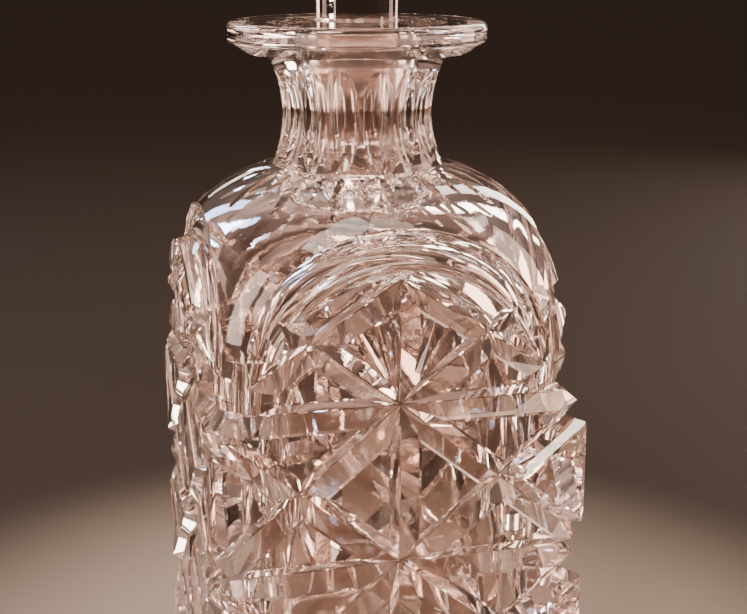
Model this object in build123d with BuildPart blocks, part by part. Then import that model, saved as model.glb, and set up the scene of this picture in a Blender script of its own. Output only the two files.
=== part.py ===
from build123d import *
import os
from math import cos, hypot, radians, sin, sqrt

# Square cut-glass decanter with a ground-in glass stopper: two separate pieces of glass.
# Millimetres, +Z up, origin at the middle of the flat base. The stopper lifts out along +Z.

# ---- square body ----------------------------------------------------------------------
body_width = 92.0  # across the flat sides
corner_flat = 1.2  # leg of the small flat on each upright corner
dome_overhang = 9.0  # of the domed shoulder's widest circle past the flat sides
dome_start_z = 107.0  # height where the dome's side is upright
dome_curve = 42.0  # radius of the dome's curve, seen from the side

# ---- neck and lip ---------------------------------------------------------------------
neck_radius = 18.7  # at the waist
neck_root_radius = 21.5  # where the neck's hollow meets the shoulder
neck_curve = 30.0  # radius of the waist's hollow, seen from the side
neck_root_round = 5.0  # round where the neck grows out of the shoulder
lip_radius = 32.2
lip_rise = 22.4  # from the waist to the lip's flat top
lip_edge = 4.8  # height of the lip's upright rim
lip_thickness = 7.6  # at the neck
lip_flat_radius = 27.4  # where the lip's underside starts to rise to the rim
lip_round = 1.6

# ---- inside ---------------------------------------------------------------------------
side_wall = 9.5  # glass left behind each flat side before cutting
cavity_corner = 16.0
cavity_floor_z = 14.0
cavity_floor_round = 6.0
dome_wall = 11.0  # glass left between the dome's inside and outside
throat_round = 4.0  # round where the bore opens into the cavity

# ---- ground joint and stopper ---------------------------------------------------------
joint_radius = 10.1  # of the tapered bore at the lip
joint_taper = 0.025  # radius lost per millimetre of depth
joint_depth = 33.0
joint_gap = 0.05  # radial clearance of the seated stopper
mouth_flare = 1.2
plug_end_chamfer = 0.8
stem_rise = 9.0  # plain stem between the lip and the stopper's head
head_radius = 23.0
head_sides = 12
head_collar = 1.8  # step from the stem out to the head's lowest facets
head_latitudes = (-30.0, 0.0, 30.0, 55.0)  # edges between the rows of facets, in degrees
head_star_cuts = 6
head_star_depth = 1.6

# ---- cut decoration -------------------------------------------------------------------
row_top_drop = 10.0  # from the dome's start down to the top row of eight-pointed stars
row_pitch = 40.2
row_count = 3
lattice_overrun = 3.0  # past the flat side, where the long diagonals meet the next row
arch_slope = 0.77  # of the cuts that rise from the top stars towards the arch
apex_rise = 30.3  # from the top row to the point where the upper cuts meet
cut_depth = 4.4
cut_spread = 0.82  # half width of a mitre cut for each millimetre of depth
cut_root = 0.15  # half width of the narrow flat along the bottom of a side cut
arris_depth = 0.35  # of the softened edges of a side cut
arris_spread = 1.6  # half width of the softened edge for each millimetre of depth
cut_overrun = 0.1  # how far a cut runs past the middle of the crossing that it ends at
hollow_radius = 6.5  # section of the hollow that arches over each side
hollow_rise = 3.5  # of the hollow's middle above the top of the flat side
hollow_lift = 2.5  # from the flat side out to the middle of the hollow's section
hollow_lean = 3.25  # of the arch towards the neck, in degrees
flute_count = 16
flute_radius = 5.5
flute_depth = 1.4
flute_path = 20.0  # radius of the upright arc that each flute follows
flute_reach = 12.5  # above and below the waist
fan_cuts = (16.0, 31.0)  # fine cuts above each top star, degrees from upright
fan_span = (9.0, 22.0)  # from the star's middle
fan_depth = 1.5
petal_depth = 1.6
petal_long = (24.0, 38.0)  # inner and outer radius of the long shoulder cuts
petal_short = (24.0, 33.0)
petal_short_depth = 1.2
base_star_radius = 34.0
base_star_depth = 2.4
base_star_cuts = 8

# ---- worked out from the sizes above --------------------------------------------------
half_width = body_width / 2
cavity_width = body_width - 2 * side_wall
lattice_half = half_width + lattice_overrun
dome_radius = half_width + dome_overhang
dome_center = (dome_radius - dome_curve, dome_start_z)
neck_root_z = dome_start_z + sqrt(dome_curve**2 - (neck_root_radius - dome_center[0]) ** 2)
neck_waist_z = neck_root_z + sqrt(neck_curve**2 - (neck_curve + neck_radius - neck_root_radius) ** 2)
neck_center = (neck_radius + neck_curve, neck_waist_z)
lip_top_z = neck_waist_z + lip_rise
blank_radius = body_width  # clear of the square's corners
row_top_z = dome_start_z - row_top_drop
rows = [row_top_z - row_pitch * row for row in range(row_count)]
apex_z = row_top_z + apex_rise
flat_top_z = dome_start_z + sqrt(dome_curve**2 - (half_width - dome_center[0]) ** 2)
hollow_path = flat_top_z + hollow_rise - row_top_z
cut_reach = half_width + 10.0  # past the corners
joint_bottom_z = lip_top_z - joint_depth
joint_bottom_radius = joint_radius - joint_taper * joint_depth


def dome_height_at(radius, wall=0.0):
    """Height of the dome's surface, or of its inside under a wall, at a radius."""
    curve = dome_curve - wall
    return dome_center[1] + sqrt(curve**2 - (radius - dome_center[0]) ** 2)


def dome_radius_at(height):
    """Radius of the dome's surface at a height."""
    return dome_center[0] + sqrt(dome_curve**2 - (height - dome_center[1]) ** 2)


def neck_radius_at(height):
    """Radius of the waisted neck at a height."""
    return neck_center[0] - sqrt(neck_curve**2 - (height - neck_center[1]) ** 2)


def bar(section, start, end, outward):
    """Straight bar from start to end; its section's first coordinate points outward."""
    along = Vector(*end) - Vector(*start)
    with BuildPart(mode=Mode.PRIVATE) as blank:
        with BuildSketch(Plane(origin=start, x_dir=outward, z_dir=along)):
            Polygon(*section, align=None)
        extrude(amount=along.length)
    return blank.part


def mitre_bar(start, end, outward, height):
    """Three-sided bar whose sharp edge runs from start to end and which widens outward."""
    half = height * cut_spread
    return bar(((0, 0), (height, -half), (height, half)), start, end, outward)


def side_bar(start, end, depth=cut_depth):
    """Bar for the front side, between two (x, z) points of the pattern, with softened edges."""
    bottom_y = depth - half_width
    flank = depth - arris_depth
    flank_half = cut_root + flank * cut_spread
    top = 2 * depth
    top_half = flank_half + (top - flank) * arris_spread
    outline = ((0, cut_root), (flank, flank_half), (top, top_half))
    section = outline + tuple((height, -half) for height, half in reversed(outline))
    return bar(section, (start[0], bottom_y, start[1]), (end[0], bottom_y, end[1]), (0, -1, 0))


def crossing_bar(start, end):
    """Side bar between two crossings, run a little past the middle of each."""
    share = cut_overrun / hypot(end[0] - start[0], end[1] - start[1])
    reach = ((end[0] - start[0]) * share, (end[1] - start[1]) * share)
    return side_bar((start[0] - reach[0], start[1] - reach[1]), (end[0] + reach[0], end[1] + reach[1]))


def petal_bar(span, depth):
    """Mitre bar that leaves a leaf-shaped cut down the domed shoulder, in the XZ plane."""
    inner = (span[0], dome_height_at(span[0]))
    outer = (span[1], dome_height_at(span[1]))
    length = hypot(outer[0] - inner[0], outer[1] - inner[1])
    down = ((outer[0] - inner[0]) / length, (outer[1] - inner[1]) / length)
    normal = (-down[1], down[0])
    sagitta = length**2 / (8 * dome_curve)
    sink = depth - sagitta
    start = (inner[0] - normal[0] * sink, inner[1] - normal[1] * sink)
    end = (outer[0] - normal[0] * sink, outer[1] - normal[1] * sink)
    return mitre_bar(
        (start[0], 0, start[1]), (end[0], 0, end[1]), (normal[0], 0, normal[1]), 3 * depth
    )


# ---- cutters --------------------------------------------------------------------------
# Everything that is cut into one flat side, made for the side that faces -Y.
with BuildPart() as side_cutters:
    for row_z in rows:
        add(side_bar((-cut_reach, row_z), (cut_reach, row_z)))
    add(side_bar((0, rows[-1] - cut_overrun), (0, apex_z + cut_overrun)))
    star = (0, row_top_z)
    apex = (0, apex_z)
    for hand in (-1, 1):
        corner = (hand * half_width, row_top_z)
        add(crossing_bar(corner, apex))
        # The cuts that rise from the top star run out into the arched hollow.
        across = hand * hollow_path / hypot(1, arch_slope)
        run_out = (across, row_top_z + abs(across) * arch_slope)
        add(side_bar(star, run_out))
        # Each bay between two rows is crossed corner to corner.
        for upper_z, lower_z in zip(rows, rows[1:]):
            middle_top = (0, upper_z)
            middle_foot = (0, lower_z)
            outer_top = (hand * lattice_half, upper_z)
            outer_foot = (hand * lattice_half, lower_z)
            add(crossing_bar(middle_top, outer_foot))
            add(crossing_bar(middle_foot, outer_top))
        for angle in fan_cuts:
            aim = (hand * sin(radians(angle)), cos(radians(angle)))
            inner, outer = [(aim[0] * reach, row_top_z + aim[1] * reach) for reach in fan_span]
            add(side_bar(inner, outer, fan_depth))

with BuildPart() as arch_hollow:
    with BuildSketch(Plane.XY.offset(row_top_z)):
        with Locations((hollow_path, -half_width - hollow_lift)):
            Circle(hollow_radius)
    lean = radians(hollow_lean)
    arch_axis = Axis((0, -half_width - hollow_lift, row_top_z), (0, -cos(lean), sin(lean)))
    revolve(axis=arch_axis, revolution_arc=180)

# One flute of the neck: a round tool that follows an upright arc, deepest at the waist.
with BuildPart() as neck_flute:
    flute_bottom = neck_radius - flute_depth
    flute_pivot = flute_bottom + flute_path
    with BuildSketch(Plane.XY.offset(neck_waist_z)):
        with Locations((flute_bottom + flute_radius, 0)):
            Circle(flute_radius)
    revolve(axis=Axis((flute_pivot, 0, neck_waist_z), (0, 1, 0)), revolution_arc=360)
    # Only the stretch that works on the neck is kept.
    with BuildSketch(Plane.XY.offset(neck_waist_z - flute_reach)):
        Rectangle(2 * flute_pivot, 2 * body_width)
    extrude(amount=2 * flute_reach, mode=Mode.INTERSECT)

# ---- room inside the glass ------------------------------------------------------------
with BuildPart() as cavity:
    # Domed room, seen from the side, that opens into the straight throat under the stopper.
    throat_z = dome_height_at(joint_bottom_radius, dome_wall)
    inner_radius = dome_radius - dome_wall
    middle_z = (throat_z + dome_start_z) / 2
    middle_radius = dome_center[0] + sqrt((dome_curve - dome_wall) ** 2 - (middle_z - dome_start_z) ** 2)
    with BuildSketch(Plane.XZ):
        with BuildLine():
            Polyline(
                (inner_radius, dome_start_z),
                (blank_radius, dome_start_z),
                (blank_radius, cavity_floor_z),
                (0, cavity_floor_z),
                (0, joint_bottom_z),
                (joint_bottom_radius, joint_bottom_z),
                (joint_bottom_radius, throat_z),
            )
            ThreePointArc(
                (joint_bottom_radius, throat_z),
                (middle_radius, middle_z),
                (inner_radius, dome_start_z),
            )
        make_face()
        throat_corner = vertices().sort_by_distance((joint_bottom_radius, 0, throat_z))[0]
        fillet(throat_corner, throat_round)
    revolve(axis=Axis.Z)
    with BuildSketch():
        RectangleRounded(cavity_width, cavity_width, cavity_corner)
    extrude(amount=lip_top_z, mode=Mode.INTERSECT)
    floor_edges = faces().sort_by(Axis.Z)[0].edges()
    fillet(floor_edges, cavity_floor_round)
    # Tapered bore, ground to take the stopper, with a flared mouth.
    with BuildSketch(Plane.XZ):
        Polygon(
            (0, joint_bottom_z - mouth_flare),
            (joint_bottom_radius, joint_bottom_z - mouth_flare),
            (joint_bottom_radius, joint_bottom_z),
            (joint_radius - joint_taper * mouth_flare, lip_top_z - mouth_flare),
            (joint_radius + mouth_flare, lip_top_z),
            (joint_radius + mouth_flare, lip_top_z + mouth_flare),
            (0, lip_top_z + mouth_flare),
            align=None,
        )
    revolve(axis=Axis.Z)

# ---- decanter -------------------------------------------------------------------------
with BuildPart() as decanter_body:
    # Turned outline: domed shoulder, waisted neck and flat lip.
    neck_root = (neck_root_radius, neck_root_z)
    lip_bottom_z = lip_top_z - lip_thickness
    neck_top = (neck_radius_at(lip_bottom_z), lip_bottom_z)
    with BuildSketch(Plane.XZ):
        with BuildLine():
            Polyline(
                (dome_radius_at(row_top_z), row_top_z),
                (blank_radius, row_top_z),
                (blank_radius, 0),
                (0, 0),
                (0, lip_top_z),
                (lip_radius, lip_top_z),
                (lip_radius, lip_top_z - lip_edge),
                (lip_flat_radius, lip_bottom_z),
                neck_top,
            )
            ThreePointArc(neck_top, (neck_radius, neck_waist_z), neck_root)
            dome_middle = (neck_root[1] + row_top_z) / 2
            ThreePointArc(
                neck_root,
                (dome_radius_at(dome_middle), dome_middle),
                (dome_radius_at(row_top_z), row_top_z),
            )
        make_face()
        root_corner = vertices().sort_by_distance((neck_root[0], 0, neck_root[1]))[0]
        fillet(root_corner, neck_root_round)
        lip_corners = vertices().filter_by_position(Axis.X, lip_radius - 0.1, lip_radius + 0.1)
        fillet(lip_corners, lip_round)
    revolve(axis=Axis.Z)
    # Four flat sides and the small corner flats.
    with BuildSketch():
        Rectangle(body_width, body_width)
        chamfer(vertices(), corner_flat)
    extrude(amount=lip_top_z, mode=Mode.INTERSECT)
    # Cut work of the sides, the neck, the shoulder and the base.
    with PolarLocations(0, 4):
        add(arch_hollow.part, mode=Mode.SUBTRACT)
    with PolarLocations(0, 4):
        add(side_cutters.part, mode=Mode.SUBTRACT)
    with PolarLocations(0, flute_count):
        add(neck_flute.part, mode=Mode.SUBTRACT)
    with PolarLocations(0, flute_count):
        add(petal_bar(petal_long, petal_depth), mode=Mode.SUBTRACT)
    with PolarLocations(0, flute_count, start_angle=180 / flute_count):
        add(petal_bar(petal_short, petal_short_depth), mode=Mode.SUBTRACT)
    with PolarLocations(0, 2 * base_star_cuts):
        add(
            mitre_bar((0, 0, base_star_depth), (base_star_radius, 0, 0), (0, 0, -1), 2 * base_star_depth),
            mode=Mode.SUBTRACT,
        )
    # Room for the wine, and the bore that the stopper seats in.
    add(cavity.part, mode=Mode.SUBTRACT)

# ---- stopper --------------------------------------------------------------------------
with BuildPart() as stopper:
    stem_top_z = lip_top_z + stem_rise
    plug_radius = joint_radius - joint_gap
    plug_end_radius = joint_bottom_radius - joint_gap
    # Solid plug, ground to the bore's taper, and the plain stem above the lip.
    with BuildSketch(Plane.XZ):
        Polygon(
            (0, joint_bottom_z),
            (plug_end_radius - plug_end_chamfer, joint_bottom_z),
            (plug_end_radius, joint_bottom_z + plug_end_chamfer),
            (plug_radius, lip_top_z),
            (plug_radius, stem_top_z),
            (0, stem_top_z),
            align=None,
        )
    revolve(axis=Axis.Z)
    # Head: a solid ball, cut all over into flat facets, with a star cut in its flat top.
    collar_radius = plug_radius + head_collar
    head_center_z = stem_top_z + sqrt(head_radius**2 - collar_radius**2)
    with BuildSketch(Plane.XY.offset(stem_top_z)):
        RegularPolygon(collar_radius, head_sides)
    for latitude in head_latitudes:
        angle = radians(latitude)
        with BuildSketch(Plane.XY.offset(head_center_z + head_radius * sin(angle))):
            RegularPolygon(head_radius * cos(angle), head_sides)
    loft(ruled=True)
    head_top_z = head_center_z + head_radius * sin(radians(head_latitudes[-1]))
    star_bottom_z = head_top_z - head_star_depth
    with PolarLocations(0, head_star_cuts):
        add(
            mitre_bar(
                (-head_radius, 0, star_bottom_z),
                (head_radius, 0, star_bottom_z),
                (0, 0, 1),
                2 * head_star_depth,
            ),
            mode=Mode.SUBTRACT,
        )

# ---- files ----------------------------------------------------------------------------
decanter_body.part.label = "decanter_body"
stopper.part.label = "stopper"
os.makedirs("parts", exist_ok=True)
export_step(decanter_body.part, "parts/decanter_body.step")
export_step(stopper.part, "parts/stopper.step")
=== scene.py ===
"""Square cut-glass decanter with its ground-in glass stopper, dressed for a studio picture."""

import logging
from dataclasses import dataclass
from enum import Enum
from math import cos, radians, sin
from typing import Any

import bpy
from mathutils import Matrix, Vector


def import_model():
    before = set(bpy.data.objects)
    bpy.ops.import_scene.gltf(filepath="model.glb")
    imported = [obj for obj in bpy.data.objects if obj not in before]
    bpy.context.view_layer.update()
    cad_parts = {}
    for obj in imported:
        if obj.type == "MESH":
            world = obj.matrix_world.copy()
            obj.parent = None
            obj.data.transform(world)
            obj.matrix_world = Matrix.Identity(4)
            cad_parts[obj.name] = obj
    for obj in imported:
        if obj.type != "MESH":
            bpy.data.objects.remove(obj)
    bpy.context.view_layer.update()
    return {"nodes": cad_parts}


LOG = logging.getLogger("decanter")
MM = 0.001


def linear(hex_colour: str) -> tuple[float, float, float, float]:
    """Turns an sRGB hex colour into the linear RGBA that a shader takes.

    Args:
        hex_colour: Six hex digits.

    Returns:
        Linear red, green, blue and an alpha of 1.
    """
    channels = [int(hex_colour[place:place + 2], 16) / 255 for place in (0, 2, 4)]
    red, green, blue = (
        value / 12.92 if value <= 0.04045 else ((value + 0.055) / 1.055) ** 2.4 for value in channels
    )
    return (red, green, blue, 1.0)


def add_node(tree: bpy.types.NodeTree, kind: str, settings: dict[Any, Any] | None = None,
             links: dict[Any, bpy.types.NodeSocket] | None = None) -> bpy.types.Node:
    """Adds one node, sets it up and links what comes into it.

    Args:
        tree: The node tree to add to.
        kind: The node's type name.
        settings: Attributes of the node by name, or values of its inputs by name or number.
        links: Sockets to join to the node's inputs, by input name or number.

    Returns:
        The new node.
    """
    node = tree.nodes.new(kind)
    for name, value in (settings or {}).items():
        if isinstance(name, int) or name in node.inputs:
            node.inputs[name].default_value = value
        else:
            setattr(node, name, value)
    for name, socket in (links or {}).items():
        tree.links.new(socket, node.inputs[name])
    return node


@dataclass(frozen=True)
class GroundJoint:
    """Where stopper and bore are ground together, in mm from the base and from the axis."""

    bottom: float = 150.4
    top: float = 181.6
    inner_radius: float = 8.2
    outer_radius: float = 10.7


@dataclass(frozen=True)
class CutCrystal:
    """Lead crystal: blown thick, mitre cut on stone wheels and acid polished.

    Acid polishing leaves the cuts bright and very slightly wavy. The ground joint stays matt.
    """

    name: str = "lead_crystal_cut_and_polished"
    tint: str = "FFF0E9"  # lead crystal's faint rosy cast, seen through a thick wall
    ior: float = 1.545
    polish: float = 0.0  # roughness of acid-polished glass
    smudge: float = 0.04  # roughness where fingers have dulled it
    ground: float = 0.14  # roughness of the wheel-ground joint
    finger_mm: float = 14.0  # width of a finger mark
    joint: GroundJoint = GroundJoint()
    wave_mm: float = 9.0  # length of the polish's slow waves
    wave_depth_mm: float = 0.05
    wheel_mm: float = 0.9  # spacing of the wheel's traces, drawn coarser than the real ones
    wheel_depth_mm: float = 0.006

    def make(self) -> bpy.types.Material:
        """Makes the material.

        Returns:
            The glass, ground matt where the stopper seats.
        """
        material = bpy.data.materials.new(self.name)
        material.use_nodes = True
        tree = material.node_tree
        tree.nodes.clear()
        place = add_node(tree, "ShaderNodeTexCoord").outputs["Object"]
        # The joint is the ring of surface between two radii and two heights.
        axes = add_node(tree, "ShaderNodeSeparateXYZ", links={"Vector": place})
        flat = add_node(tree, "ShaderNodeVectorMath", {"operation": "MULTIPLY", 1: (1.0, 1.0, 0.0)},
                        {0: place})
        radius = add_node(tree, "ShaderNodeVectorMath", {"operation": "LENGTH"}, {0: flat.outputs[0]})
        half_height = (self.joint.top - self.joint.bottom) / 2
        in_height = add_node(tree, "ShaderNodeMath", {
            "operation": "COMPARE", 1: (self.joint.bottom + half_height) * MM, 2: half_height * MM,
        }, {0: axes.outputs["Z"]})
        half_ring = (self.joint.outer_radius - self.joint.inner_radius) / 2
        in_ring = add_node(tree, "ShaderNodeMath", {
            "operation": "COMPARE", 1: (self.joint.inner_radius + half_ring) * MM, 2: half_ring * MM,
        }, {0: radius.outputs["Value"]})
        matt = add_node(tree, "ShaderNodeMath", {"operation": "MULTIPLY"},
                        {0: in_height.outputs[0], 1: in_ring.outputs[0]})
        # Finger marks dull the polish in patches.
        fingers = add_node(tree, "ShaderNodeTexNoise", {"Scale": 1 / (self.finger_mm * MM), "Detail": 3.0},
                           {"Vector": place})
        dulled = add_node(tree, "ShaderNodeMapRange", {
            "From Min": 0.5, "From Max": 0.75, "To Min": self.polish, "To Max": self.smudge,
        }, {"Value": fingers.outputs["Fac"]})
        roughness = add_node(tree, "ShaderNodeMix", {"data_type": "FLOAT", 3: self.ground},
                             {0: matt.outputs[0], 2: dulled.outputs["Result"]})
        # Slow waves of the acid polish, and the finer marks that the wheels leave under it.
        waves = add_node(tree, "ShaderNodeTexNoise", {"Scale": 1 / (self.wave_mm * MM), "Detail": 1.0},
                         {"Vector": place})
        soft = add_node(tree, "ShaderNodeBump", {"Strength": 1.0, "Distance": self.wave_depth_mm * MM},
                        {"Height": waves.outputs["Fac"]})
        traces = add_node(tree, "ShaderNodeTexNoise", {"Scale": 1 / (self.wheel_mm * MM), "Detail": 2.0},
                          {"Vector": place})
        fine = add_node(tree, "ShaderNodeBump", {"Strength": 1.0, "Distance": self.wheel_depth_mm * MM},
                        {"Height": traces.outputs["Fac"], "Normal": soft.outputs["Normal"]})
        shader = add_node(tree, "ShaderNodeBsdfPrincipled", {
            "Base Color": linear(self.tint),
            "IOR": self.ior,
            "Transmission Weight": 1.0,
        }, {"Roughness": roughness.outputs[0], "Normal": fine.outputs["Normal"]})
        add_node(tree, "ShaderNodeOutputMaterial", links={"Surface": shader.outputs["BSDF"]})
        return material


@dataclass
class GlassPiece:
    """One piece of glass, under the name that it goes by in the frame."""

    node: str

    def dress(self, nodes: dict[str, bpy.types.Object], glass: bpy.types.Material) -> None:
        """Gives the piece its glass.

        Args:
            nodes: The pieces by name.
            glass: The finish that goes all over it.
        """
        piece = nodes[self.node]
        piece.data.materials.clear()
        piece.data.materials.append(glass)
        LOG.info("dressed %s: %d faces", self.node, len(piece.data.polygons))


@dataclass
class DecanterBody(GlassPiece):
    """The square bottle: domed shoulder, fluted neck, flat lip and ground bore."""

    node: str = "decanter_body"


@dataclass
class Stopper(GlassPiece):
    """The stopper: ground plug, plain stem and faceted head, solid glass."""

    node: str = "stopper"


@dataclass(frozen=True)
class SoftBox:
    """One soft box that faces the decanter: angles in degrees, sizes in metres."""

    name: str
    azimuth: float  # from -Y, towards +X
    elevation: float
    size: tuple[float, float]
    watts: float
    colour: str
    reach: float = 0.9


class Boxes(Enum):
    """The studio's soft boxes."""

    KEY = SoftBox("key_box", -45, 52, (0.24, 0.24), 6.0, "FFEEDC")
    LEFT_STRIP = SoftBox("left_strip", -78, 20, (0.12, 0.7), 3.6, "FFDFCB")
    LEFT_WALL = SoftBox("left_wall", -118, 16, (0.3, 0.5), 3.0, "EFC9B6")
    RIGHT_STRIP = SoftBox("right_strip", 60, 24, (0.14, 0.6), 3.6, "FFE0CB")
    RIGHT_WALL = SoftBox("right_wall", 98, 18, (0.3, 0.6), 4.0, "F0C8B4")
    RIM = SoftBox("rim_strip", 138, 26, (0.1, 0.8), 3.5, "FFF3E6")
    WINDOW = SoftBox("window_strip", -152, 32, (0.1, 0.3), 2.5, "BFD4FF")
    TOP_LEFT = SoftBox("top_left_strip", -60, 78, (0.18, 0.5), 2.2, "FFF3E8")
    TOP_RIGHT = SoftBox("top_right_strip", 70, 70, (0.18, 0.5), 2.0, "FFE0C4")
    FRONT = SoftBox("front_strip", 14, 14, (0.2, 0.03), 0.8, "FFF3E6")


@dataclass
class Studio:
    """Paper under the decanter, painted pale beneath it and dark further out as a painted pool of light,
    soft boxes around it and the camera.
    """

    floor_radius: float = 6.0
    floor_drop_mm: float = 0.3  # keeps the paper clear of the glass, as the air film under a real base does
    # Painted pool of light on the paper: its colour is pale within the first radius and darkens to painted
    # shade by the second.
    painted_pool_radius: float = 0.06
    painted_shade_radius: float = 0.19
    painted_pool_paper: str = "978C80"
    painted_shade_paper: str = "312A24"
    low_air: str = "362E27"
    high_air: str = "C4A79B"
    patch_share: tuple[float, float] = (0.4, 1.5)  # darkest and palest patches of the air
    yaw: float = 14.56
    pitch: float = 15.16
    distance: float = 0.360
    aim: tuple[float, float] = (0.0041, 0.1098)
    focal_px: float = 1381.0
    image_width: int = 747
    sensor: float = 36.0

    def lay_floor(self) -> None:
        """Lays a round sheet of paper whose colour is pale under the object and falls off to dark: a
        painted pool of light, with painted shade further out.
        """
        bpy.ops.object.select_all(action="DESELECT")
        bpy.ops.mesh.primitive_circle_add(vertices=96, radius=self.floor_radius, fill_type="NGON",
                                          location=(0, 0, -self.floor_drop_mm * MM))
        floor = bpy.context.object
        floor.name = "studio_floor"
        material = bpy.data.materials.new("matt_paper_painted_pool")
        material.use_nodes = True
        tree = material.node_tree
        tree.nodes.clear()
        place = add_node(tree, "ShaderNodeTexCoord").outputs["Object"]
        length = add_node(tree, "ShaderNodeVectorMath", {"operation": "LENGTH"}, {0: place})
        # The paper's colour grades from pale to dark with distance from the axis: a painted pool of light
        # under the decanter, fading to painted shade.
        painted_pool_grade = add_node(tree, "ShaderNodeMapRange", {
            "interpolation_type": "SMOOTHSTEP",
            "From Min": self.painted_pool_radius,
            "From Max": self.painted_shade_radius,
        }, {"Value": length.outputs["Value"]})
        mix = add_node(tree, "ShaderNodeMix", {
            "data_type": "RGBA", 6: linear(self.painted_pool_paper), 7: linear(self.painted_shade_paper),
        }, {0: painted_pool_grade.outputs["Result"]})
        shader = add_node(tree, "ShaderNodeBsdfPrincipled", {"Roughness": 0.8, "Specular IOR Level": 0.1},
                          {"Base Color": mix.outputs[2]})
        add_node(tree, "ShaderNodeOutputMaterial", links={"Surface": shader.outputs["BSDF"]})
        floor.data.materials.append(material)

    def set_world(self) -> None:
        """Fills the room with a dim warm air that is brighter overhead."""
        world = bpy.data.worlds.new("studio_air")
        bpy.context.scene.world = world
        world.use_nodes = True
        tree = world.node_tree
        tree.nodes.clear()
        coordinates = add_node(tree, "ShaderNodeTexCoord")
        axis = add_node(tree, "ShaderNodeSeparateXYZ", links={"Vector": coordinates.outputs["Generated"]})
        ramp = add_node(tree, "ShaderNodeMapRange", {
            "interpolation_type": "SMOOTHSTEP", "From Min": 0.08, "From Max": 0.5,
        }, {"Value": axis.outputs["Z"]})
        mix = add_node(tree, "ShaderNodeMix", {
            "data_type": "RGBA", 6: linear(self.low_air), 7: linear(self.high_air),
        }, {0: ramp.outputs["Result"]})
        patches = add_node(tree, "ShaderNodeTexNoise", {"Scale": 2.6, "Detail": 1.0},
                           {"Vector": coordinates.outputs["Generated"]})
        share = add_node(tree, "ShaderNodeMapRange", {
            "From Min": 0.38, "From Max": 0.62,
            "To Min": self.patch_share[0], "To Max": self.patch_share[1],
        }, {"Value": patches.outputs["Fac"]})
        background = add_node(tree, "ShaderNodeBackground",
                              links={"Color": mix.outputs[2], "Strength": share.outputs["Result"]})
        add_node(tree, "ShaderNodeOutputWorld", links={"Surface": background.outputs["Background"]})

    def hang_box(self, box: SoftBox) -> None:
        """Hangs one soft box.

        Args:
            box: Its place, size and light.
        """
        lamp = bpy.data.lights.new(box.name, "AREA")
        lamp.shape = "RECTANGLE"
        lamp.size, lamp.size_y = box.size
        lamp.energy = box.watts
        lamp.color = linear(box.colour)[:3]
        holder = bpy.data.objects.new(box.name, lamp)
        turn, lift = radians(box.azimuth), radians(box.elevation)
        place = Vector((sin(turn) * cos(lift), -cos(turn) * cos(lift), sin(lift))) * box.reach
        holder.location = place + Vector((0, 0, 110 * MM))
        holder.rotation_euler = (-place).to_track_quat("-Z", "Y").to_euler()
        bpy.context.scene.collection.objects.link(holder)

    def set_camera(self) -> None:
        """Sets the camera."""
        turn, lift = radians(-self.yaw), radians(self.pitch)
        back = Vector((sin(turn) * cos(lift), -cos(turn) * cos(lift), sin(lift)))
        right = Vector((cos(turn), sin(turn), 0))
        target = Vector((0, 0, self.aim[1])) + right * self.aim[0]
        data = bpy.data.cameras.new("camera")
        data.sensor_width = self.sensor
        data.lens = self.focal_px * self.sensor / self.image_width
        camera = bpy.data.objects.new("camera", data)
        bpy.context.scene.collection.objects.link(camera)
        camera.location = target + back * self.distance
        camera.rotation_euler = (-back).to_track_quat("-Z", "Y").to_euler()
        bpy.context.scene.camera = camera

    def open_shutter(self) -> None:
        """Lets light cross as many glass walls as it has to."""
        cycles = bpy.context.scene.cycles
        cycles.max_bounces = 32
        cycles.transmission_bounces = 32
        cycles.glossy_bounces = 16


def main() -> None:
    """Dresses the decanter's pieces, then sets up the studio."""
    logging.basicConfig(level=logging.INFO, format="%(message)s")
    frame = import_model()
    glass = CutCrystal().make()
    for piece in (DecanterBody(), Stopper()):
        piece.dress(frame["nodes"], glass)
    studio = Studio()
    studio.lay_floor()
    studio.set_world()
    for box in Boxes:
        studio.hang_box(box.value)
        LOG.info("hung %s", box.value.name)
    studio.set_camera()
    studio.open_shutter()


if __name__ == "__main__":
    main()
